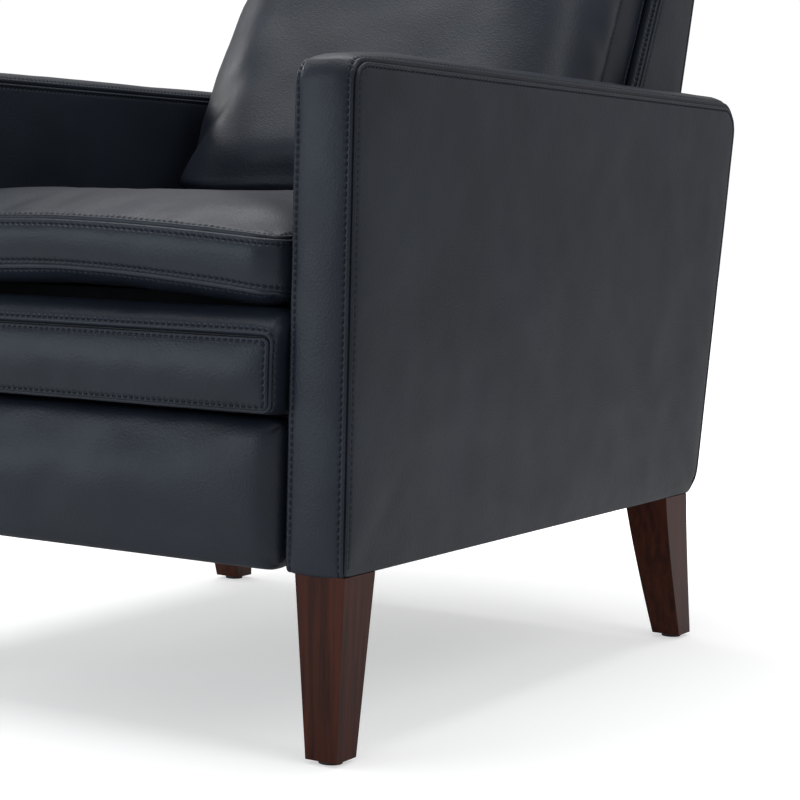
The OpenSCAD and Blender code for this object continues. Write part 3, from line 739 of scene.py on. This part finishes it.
def respaced(base, size, fine):
    """The same ticks for another length: the fine rows keep their distance from the ends."""
    total = base[-1]
    half = total / 2
    out = base.copy()
    upper = base > half
    if size > 2 * fine + 2 * MM:
        scale = (size / 2 - fine) / (half - fine)
        middle = (base > fine) & (base < total - fine)
        out[middle] = size / 2 + (base[middle] - half) * scale
        out[~middle & upper] = size - (total - base[~middle & upper])
        return out
    return base * size / total


def upholster(name, body, shape, seams, material, undulation=0.7, seed=1):
    """Makes a piece from a Boxed shape. seams holds, for the front and the rear seam, one share for
    each of the low, right, high and left sides."""
    shape.assemble()
    total = np.zeros(len(shape.points))
    for sides, distance in zip(seams, (shape.from_front, shape.from_rear)):
        if any(sides):
            total += seam_profile(distance) * shape.weights(sides)
    edge = np.minimum(shape.from_front, shape.from_rear)
    loose = 1 - np.exp(-edge / (18 * MM))
    pucker = np.exp(-(((edge - 13 * MM) / (8 * MM)) ** 2))
    total += undulation * MM * 2.2 * field(shape.points, 9, seed) * loose
    total += undulation * MM * 0.9 * field(shape.points, 26, seed + 5) * loose
    total += undulation * MM * 0.8 * field(shape.points, 90, seed + 9) * pucker
    normals = shape.normals()
    shape.points = shape.points + total[:, None] * normals
    piece = new_piece(name, shape.points, shape.faces, material, shape.seam_map(seams))
    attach(piece, body)
    shape.surface_normals = shape.normals()
    stitch_rows(name, body, shape, seams)
    return piece


def new_piece(name, points, faces, material, seam_map=None):
    mesh = bpy.data.meshes.new(name)
    mesh.from_pydata(points.tolist(), [], faces.tolist())
    mesh.polygons.foreach_set("use_smooth", [True] * len(mesh.polygons))
    mesh.materials.append(material)
    if seam_map is not None:
        mesh.uv_layers.new(name=SEAM_MAP).data.foreach_set("uv", seam_map.ravel())
    mesh.update()
    piece = bpy.data.objects.new(name, mesh)
    bpy.context.scene.collection.objects.link(piece)
    return piece


CLOTH_STEP = 13 * MM
CLOTH_FRAMES = 20
PRESSURE = 4.0


def settle(face, cap, slack, seed, broad=70 * MM):
    """Lets the leather of a face settle over its filling, sewn down along its edges.

    A coarse copy of the face swells under pressure in a cloth simulation. The face has its
    crown already, so only movement finer than broad is kept: creases, hollows and puckers."""
    x, y = face.left[:, 0], face.low[0]
    coarse_x, coarse_y = (np.linspace(0, t[-1], round(t[-1] / CLOTH_STEP) + 1) for t in (x, y))
    start = on_grid(between(coarse_x, x), face.points, between(coarse_y, y))
    uneven = field(start.reshape(-1, 3), 14, seed).reshape(start.shape[:2])
    start = start + MM * uneven[..., None] * face.normal
    moved = swollen(start, face.normal, slack) - start
    length = np.linalg.norm(moved, axis=-1, keepdims=True)
    moved = moved * np.minimum(1, cap / np.maximum(length, 1e-9))
    swell = on_grid(nearby(coarse_x, coarse_x, broad), moved, nearby(coarse_y, coarse_y, broad))
    swell = swell * dome(coarse_edge(coarse_x, coarse_y), broad)[..., None]
    fine = on_grid(nearby(x, coarse_x, CLOTH_STEP), moved - swell, nearby(y, coarse_y, CLOTH_STEP))
    face.points = face.points + fine * (1 - np.exp(-face.edge / (12 * MM)))[..., None]


def coarse_edge(x, y):
    """Distance from the nearest edge at each point of a grid."""
    across, upward = np.minimum(x, x[-1] - x), np.minimum(y, y[-1] - y)
    return np.minimum(across[:, None], upward[None])


def on_grid(rows, values, columns):
    """Values of a grid, mixed along both of its directions."""
    return np.einsum("ai,ijc,bj->abc", rows, values, columns)


def between(wanted, known):
    """Weights for places between known ones."""
    return np.stack([np.interp(wanted, known, one) for one in np.eye(len(known))], 1)


def nearby(wanted, known, spread):
    """Weights that even out values over a spread."""
    weight = np.exp(-(((wanted[:, None] - known[None]) / spread) ** 2))
    return weight / weight.sum(1, keepdims=True)


def swollen(start, normal, slack):
    """Cloth simulation of a grid held along its border: where its points end up."""
    index = np.arange(start.shape[0] * start.shape[1]).reshape(start.shape[:2])
    quads = corners_of(index).reshape(-1, 4)
    if np.cross(start[1, 0] - start[0, 0], start[0, 1] - start[0, 0]) @ normal < 0:
        quads = quads[:, ::-1]
    piece = new_piece("settling", start.reshape(-1, 3), quads, LEATHER)
    border = np.unique(np.concatenate([index[0], index[-1], index[:, 0], index[:, -1]]))
    piece.vertex_groups.new(name="sewn").add(border.tolist(), 1, "REPLACE")
    cloth = piece.modifiers.new("leather", "CLOTH")
    cloth.collision_settings.use_collision = False
    cloth.point_cache.frame_end = CLOTH_FRAMES
    cloth.settings.vertex_group_mass = "sewn"
    cloth.settings.quality = 6
    cloth.settings.mass = 0.4
    cloth.settings.tension_stiffness = cloth.settings.compression_stiffness = 14
    cloth.settings.shear_stiffness = 5
    cloth.settings.bending_stiffness = 0.6
    cloth.settings.shrink_min = -slack
    cloth.settings.use_pressure = True
    cloth.settings.uniform_pressure_force = PRESSURE
    cloth.settings.effector_weights.gravity = 0
    for step in range(1, CLOTH_FRAMES + 1):
        bpy.context.scene.frame_set(step)
    result = piece.evaluated_get(bpy.context.evaluated_depsgraph_get())
    ended = np.empty(start.size, np.float32)
    result.data.vertices.foreach_get("co", ended)
    bpy.data.objects.remove(piece)
    bpy.context.scene.frame_set(1)
    return ended.reshape(start.shape).astype(float)


STITCH_PITCH = 6.6 * MM
STITCH_LENGTH = 4.4 * MM
THREAD_R = 0.8 * MM
STITCH_SIDES = 5


def stitch_form():
    """One stitch along X: a short thread that dips at both ends, with Z up."""
    points, faces = [], []
    stations = [(-0.5, -0.75, 0.45), (-0.32, 0.3, 0.95), (0.32, 0.3, 0.95), (0.5, -0.75, 0.45)]
    for x, z, r in stations:
        for k in range(STITCH_SIDES):
            turn = 2 * math.pi * k / STITCH_SIDES
            points.append((
                x * STITCH_LENGTH,
                r * THREAD_R * 1.25 * math.sin(turn),
                z * THREAD_R + r * THREAD_R * math.cos(turn),
            ))
    for s in range(len(stations) - 1):
        for k in range(STITCH_SIDES):
            a, b = s * STITCH_SIDES + k, s * STITCH_SIDES + (k + 1) % STITCH_SIDES
            faces.append((a, b, b + STITCH_SIDES, a + STITCH_SIDES))
    return np.array(points), faces


def stitch_rows(name, body, shape, seams):
    """Two rows of stitches along each seam, one on each side of it."""
    if not any(any(sides) for sides in seams):
        return
    k = [abs(r - STITCH_ROW) < 1e-9 for r in shape.near].index(True)
    form, form_faces = stitch_form()
    points, faces = [], []
    for which, (face, sides) in enumerate(zip((shape.front, shape.rear), seams)):
        share = face.by_side(sides)
        on_strip = shape.strip_index[k if which == 0 else -1 - k]
        places = np.append(face.ring_places(), face.girth)
        rows = [(np.append(on_strip, on_strip[0]), places, closed(share[shape.ring_index]))]
        for line, around in zip(face.lines(k), face.around):
            i, j = np.array(line).T
            rows.append((shape.index[i, j] + which * shape.grid, around[i, j], share[i, j]))
        for line, along, shares in rows:
            along = along / face.girth * shape.count
            for at, ahead, up in stitches_on(shape.points[line], shape.surface_normals[line], along, shares):
                base = len(points) * len(form)
                points.append(at + form @ np.array([ahead, np.cross(up, ahead), up]))
                faces += [tuple(base + v for v in f) for f in form_faces]
    rows = new_piece(name + "_stitching", np.concatenate(points), np.array(faces), THREAD_AND_HOLE_SHADE)
    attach(rows, body)


def closed(values):
    """A line's values, with the first again at the end."""
    return np.append(values, values[0])


def stitches_on(line, normals, along, share):
    """Places of stitches on a line. along counts the stitches, so one lies at each half."""
    places = np.arange(math.ceil(along[0] - 0.5), math.floor(along[-1] - 0.5) + 1) + 0.5
    places = places[np.interp(places, along, share) > 0.5]

    def look(values, where):
        return np.stack([np.interp(where, along, values[:, k]) for k in range(3)], -1)

    ahead = unit(look(line, places + 0.3) - look(line, places - 0.3))
    upward = look(normals, places)
    upward = unit(upward - (upward * ahead).sum(1)[:, None] * ahead)
    return zip(look(line, places), ahead, upward)


# ---------------------------------------------------------------- arms

arm_low, arm_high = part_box("arm_right_cover")
ARM_FRONT = arm_low.y
ARM_REAR_BOTTOM = ARM_FRONT + 0.782
ARM_CROWN = 0.0115
ARM_CORNERS = (4 * MM, 28 * MM, 34 * MM, 21 * MM)
ARM_FRONT_FALL = 0.45               # share of the crown that is lost at the front end
ARM_FALL_LENGTH = 0.12


def arm(side, word):
    """Slim track arm: boxing round its front, top and rear, seamed to both sides."""
    low, high = arm_low.z, arm_high.z - 10 * MM

    def outline(x):
        return [
            (x, ARM_FRONT, low), (x, ARM_REAR_BOTTOM, low),
            (x, arm_high.y - 2 * MM, high), (x, ARM_FRONT, high),
        ]

    outer, inner = side * (arm_high.x - 1 * MM), side * (arm_low.x + 1 * MM)
    shape = Boxed(outline(outer), outline(inner), ARM_CORNERS)
    shape.build(
        (pillow(2.5 * MM, 60 * MM), pillow(1.5 * MM, 60 * MM)),
        (0.5 * MM, 5 * MM, ARM_CROWN, 5 * MM),
    )
    y, z = shape.strip[..., 1], shape.strip[..., 2]
    near_front = 1 - smooth((y - ARM_FRONT) / ARM_FALL_LENGTH)
    shape.strip[..., 2] = z - np.maximum(z - high, 0) * ARM_FRONT_FALL * near_front
    seams = ((0, 1, 1, 1), (0, 1, 1, 1))
    piece = upholster(
        f"arm_{word}", "base", shape, seams, LEATHER, 0.6, 3 + side
    )
    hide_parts(*(f"arm_{word}_{n}" for n in ("cover", "foam", "panel")))


# ---------------------------------------------------------------- seat cushion

seat_low, seat_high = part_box("seat_cushion")
SEAT_TOP_SEAM = seat_high.z - 25 * MM
SEAT_LOW_SEAM = seat_low.z + 19 * MM
SEAT_DROOP = 13 * MM


def seat_cushion():
    """Boxed cushion whose front corners droop a little in front of the arms."""
    half = seat_high.x - 3 * MM

    def outline(z, front, rear, x):
        return [(-x, front, z), (x, front, z), (x, rear, z), (-x, rear, z)]

    top = outline(SEAT_TOP_SEAM, ARM_FRONT - 14 * MM, seat_high.y - 4 * MM, half)
    low = outline(SEAT_LOW_SEAM, ARM_FRONT - 9 * MM, seat_high.y - 6 * MM, half)
    shape = Boxed(top, low, (26 * MM, 26 * MM, 12 * MM, 12 * MM))
    under = pillow(17 * MM, 50 * MM, 2.6, mound)
    shape.build((seat_crown, under), (8 * MM, 1 * MM, 5 * MM, 1 * MM))
    settle(shape.front, 24 * MM, 0.016, seed=7)
    for part in (shape.front, shape.rear):
        part.points = drooped(part.points, half)
    shape.strip = drooped(shape.strip, half)
    seams = ((1, 1, 1, 1), (1, 1, 1, 1))
    piece = upholster(
        "seat_cushion_cover", "seat", shape, seams, CUSHION_LEATHER, 1.2, 7
    )
    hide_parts("seat_cushion")


def seat_crown(face):
    """Crown of the seat, which stays full into its rear corners, under the back cushion."""
    rear = 1 - smooth((face.high - 30 * MM) / (80 * MM))
    side = (80 - 58 * rear) * MM
    rise = mound(face.low, 105 * MM) * mound(face.high, 40 * MM)
    rise = rise * mound(face.left, side) * mound(face.right, side)
    height = seat_high.z + 0.5 * MM - SEAT_TOP_SEAM
    return straight_out(height * rise)


def drooped(points, half):
    """Lowers the sides of the cushion, most at its front, where no deck holds it up."""
    x, y, z = np.moveaxis(points, -1, 0)
    from_front = y - ARM_FRONT
    fade = 1 - 0.6 * smooth((from_front - 0.02) / 0.2)
    below = np.clip((SEAT_TOP_SEAM - z) / (SEAT_TOP_SEAM - SEAT_LOW_SEAM), 0, 1)
    z = z - (SEAT_DROOP + 5 * MM * below) * np.minimum(np.abs(x) / half, 1) ** 1.7 * fade
    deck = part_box("seat_deck")[1].z + 0.5 * MM
    held = smooth((from_front - 0.035) / 0.025)
    z = z + np.maximum(deck - z, 0) * held
    return np.stack([x, y, z], -1)


# ---------------------------------------------------------------- footrest

pad_low, pad_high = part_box("footrest_pad")
PAD_TOP_SEAM = pad_high.z - 28 * MM
PAD_LOW_SEAM = pad_low.z + 5 * MM
PAD_HALF = 0.258


def footrest_pad():
    """Pad with a stitched front face and deep boxing over its top."""
    def outline(y, low, high, x):
        return [(-x, y, low), (x, y, low), (x, y, high), (-x, y, high)]

    face = outline(ARM_FRONT - 20 * MM, PAD_LOW_SEAM, PAD_TOP_SEAM, PAD_HALF)
    rear_low, rear_high = pad_low.z + 2 * MM, pad_high.z - 6 * MM
    rear = outline(pad_high.y - 1 * MM, rear_low, rear_high, pad_high.x - 3 * MM)
    shape = Boxed(face, rear, (8 * MM,) * 4)
    shape.build((pillow(7 * MM, 45 * MM, 2.6, mound), None), (2 * MM, 2 * MM, 9 * MM, 2 * MM))
    settle(shape.front, 12 * MM, 0.008, seed=11)
    seams = ((1, 1, 1, 1), (0, 0, 0, 0))
    piece = upholster(
        "footrest_pad_cover", "footrest", shape, seams, CUSHION_LEATHER, 0.8, 11
    )
    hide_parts("footrest_pad")


panel_low, panel_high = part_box("front_panel")


def front_panel():
    """Smooth padded panel, pulled round its edges with no seam."""
    def outline(y, inset):
        x, low, high = panel_high.x - inset, panel_low.z + inset, panel_high.z - inset
        return [(-x, y, low), (x, y, low), (x, y, high), (-x, y, high)]

    face = outline(ARM_FRONT + 5 * MM, 1.5 * MM)
    rear = outline(panel_high.y - 1 * MM, 1.5 * MM)
    shape = Boxed(face, rear, (16 * MM,) * 4)
    shape.build((pillow(20 * MM, 26 * MM, 2.0), None), (0.5 * MM,) * 4)
    settle(shape.front, 12 * MM, 0.006, seed=13)
    none = (0, 0, 0, 0)
    piece = upholster(
        "front_panel_cover", "footrest", shape, (none, none), LEATHER, 0.9, 13
    )
    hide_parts("front_panel")


# ---------------------------------------------------------------- back

back_low, back_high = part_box("back_left_stile")
BACK_LEAN = math.radians(26)
REAR_LEAN = math.radians(15.5)
FRONT_AT_REF = ARM_FRONT + 0.752
REAR_AT_REF = ARM_FRONT + 0.872
REF_Z = 0.645
AHEAD = Vector((0, -math.cos(BACK_LEAN), math.sin(BACK_LEAN)))


def frame_front(z):
    return FRONT_AT_REF + (z - REF_Z) * math.tan(BACK_LEAN)


def frame_rear(z):
    return REAR_AT_REF + (z - REF_Z) * math.tan(REAR_LEAN)


HOLLOW = 0.92                       # depth of the hollow as a share of the frame's depth
RIM_CROWN = 4.5 * MM


def back_frame():
    """Upholstered frame of the back: a padded rim round a hollow for the webbing, and a closed rear."""
    half = -back_low.x - 1 * MM
    low, high = back_low.z + 1 * MM, back_high.z - 6 * MM
    front = [
        (-half, frame_front(low), low), (half, frame_front(low), low),
        (half, frame_front(high), high), (-half, frame_front(high), high),
    ]
    rear = [
        (-half, frame_rear(low), low), (half, frame_rear(low), low),
        (half, frame_rear(high), high), (-half, frame_rear(high), high),
    ]
    rows = tuple(r for r in ROWS if r <= 13 * MM)
    rim = back_high.x - back_low.x - 0.5 * MM
    shape = Boxed(front, rear, (12 * MM, 12 * MM, 22 * MM, 22 * MM), rows, (rim, rim + 0.6 * MM))

    def padded_rim(face):
        return straight_out(RIM_CROWN * np.sin(math.pi * np.clip(face.edge / rim, 0, 1)))

    bulges = (1 * MM, 1.2 * MM, 6 * MM, 1.2 * MM)
    shape.build((padded_rim, pillow(3 * MM, 70 * MM)), bulges, (rim, HOLLOW))

    def open_below(points):
        """Carries the hollow on through the low rim, so that the reclining back clears the plates."""
        x, y, z = np.moveaxis(points, -1, 0)
        inside = np.clip((half - rim - np.abs(x)) / (0.6 * MM), 0, 1) * (z < low + 2 * rim)
        floor = frame_front(z) + HOLLOW * (frame_rear(z) - frame_front(z))
        return np.stack([x, y + inside * np.maximum(floor - y, 0), z], -1)

    shape.front.points = open_below(shape.front.points)
    shape.strip = open_below(shape.strip)
    seams = ((0, 1, 1, 1), (1, 1, 1, 1))
    piece = upholster("back_frame_cover", "back", shape, seams, LEATHER, 0.5, 17)
    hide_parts("back_left_stile", "back_right_stile", "back_top_rail", "back_outside_panel")


BACK_BOXING = 0.064                 # depth of the boxing, from the frame to the front seam
BACK_CROWN = 0.104
BACK_PUFF = 17 * MM                 # how far the sides stand out past their seams
BACK_ROLL = 46 * MM                 # from the low seam to where the crown is full
BACK_ROUND_ROWS = (16, 19, 22, 25, 28, 31, 34, 38, 42, 46, 51, 57)
BACK_ROWS = ROWS[:12] + tuple(r * MM for r in BACK_ROUND_ROWS)
CUSHION_HALF = 0.239


def back_cushion():
    """Deep boxed pillow on the front of the back frame."""
    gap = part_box("back_cushion")
    low, high = gap[0].z + 6 * MM, gap[1].z - 20 * MM

    def outline(ahead):
        corners = []
        for x, z in ((-1, low), (1, low), (1, high), (-1, high)):
            at = Vector((x * CUSHION_HALF, frame_front(z), z)) + AHEAD * ahead
            corners.append(tuple(at))
        return corners

    front = outline(3 * MM + BACK_BOXING)
    rear = outline(3 * MM)
    shape = Boxed(front, rear, (30 * MM, 30 * MM, 40 * MM, 40 * MM), BACK_ROWS)
    shape.build((puffed_crown, None), (5 * MM, 2 * MM, 5 * MM, 2 * MM))
    settle(shape.front, 26 * MM, 0.014, seed=23)
    seams = ((1, 1, 1, 1), (1, 1, 1, 1))
    piece = upholster(
        "back_cushion_cover", "back", shape, seams, CUSHION_LEATHER, 1.3, 23
    )
    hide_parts("back_cushion")


def puffed_crown(face):
    """Crown that stands out past its seams at the sides and rolls forward over the seat."""
    width, height = face.size
    left, right = (rolled(d, 70 * MM, 2.4, width / 2) for d in (face.left, face.right))
    top = rolled(face.high, 130 * MM, 2.0, height / 2)
    full = BACK_CROWN * (1 + 0.16 * (1 - smooth(face.low / 0.36)))
    lift = full * left[1] * right[1] * top[1] * smooth(face.low / BACK_ROLL) ** 0.8
    off_ends = smooth(face.low / 0.05) * smooth(face.high / 0.05)
    off_sides = smooth(face.left / 0.05) * smooth(face.right / 0.05)
    out = [bulge_out(d, 0.15) for d in (face.right, face.left)]
    sideways = (BACK_PUFF * (out[0] - out[1]) + right[0] - left[0]) * off_ends
    upwards = (10 * MM * bulge_out(face.high, 0.18) + top[0]) * off_sides
    sag = 0.5 * lift * (1 - smooth((face.low - BACK_ROLL) / 0.2))
    return lift, sideways, upwards - sag


def rolled(along, reach, power, room):
    """A deep round edge of the crown, for distances measured along the leather from its seam: how
    much less each is when measured flat, which fades out at room, and the rise from 0 to 1."""
    t = np.linspace(0, 1, 400) ** 2
    flat, rise = t * reach, dome(t, 1, power)
    arc = np.concatenate([[0], np.cumsum(np.hypot(np.diff(flat), BACK_CROWN * np.diff(rise)))])
    past = np.clip((along - arc[-1]) / (room - arc[-1]), 0, 1)
    on_arc, beyond = along - np.interp(along, arc, flat), (arc[-1] - reach) * (1 - past)
    return np.where(along < arc[-1], on_arc, beyond), np.interp(along, arc, rise)


# ---------------------------------------------------------------- rear apron


def rear_apron():
    """Leather-covered board that closes the rear below the back."""
    low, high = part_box("rear_apron")
    x, z0, z1 = high.x - 0.5 * MM, low.z + 1 * MM, high.z - 1 * MM

    def outline(y):
        """Its top leans back by 2 mm."""
        return [(x, y, z0), (-x, y, z0), (-x, y + 2 * MM, z1), (x, y + 2 * MM, z1)]

    shape = Boxed(outline(high.y - 3 * MM), outline(low.y), (4 * MM,) * 4)
    shape.build((pillow(3 * MM, 16 * MM), None), (0.5 * MM,) * 4)
    none = (0, 0, 0, 0)
    piece = upholster("rear_apron_cover", "base", shape, (none, none), LEATHER, 0.4, 29)
    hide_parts("rear_apron")


# ---------------------------------------------------------------- CAD parts shown as they are

BEVELS = {"leg_wood": 2.2 * MM, "frame_wood": 1.0 * MM, "glide_plastic": 0.8 * MM}


def finish_cad_parts():
    """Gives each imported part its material, and softens the edges of the timber."""
    for sub in frame["record"]["subparts"]:
        node, slot = frame["nodes"][sub["node"]], sub["material_slot"]
        node.data.materials.clear()
        node.data.materials.append(BY_SLOT[slot])
        if slot in BEVELS:
            bevel = node.modifiers.new("softened edges", "BEVEL")
            bevel.width = BEVELS[slot]
            bevel.segments = 3
            bevel.limit_method = "ANGLE"
            bevel.angle_limit = math.radians(35)


make_camera()
make_floor()
make_light()
finish_cad_parts()
arm(-1, "left")
arm(1, "right")
seat_cushion()
footrest_pad()
front_panel()
back_frame()
back_cushion()
rear_apron()
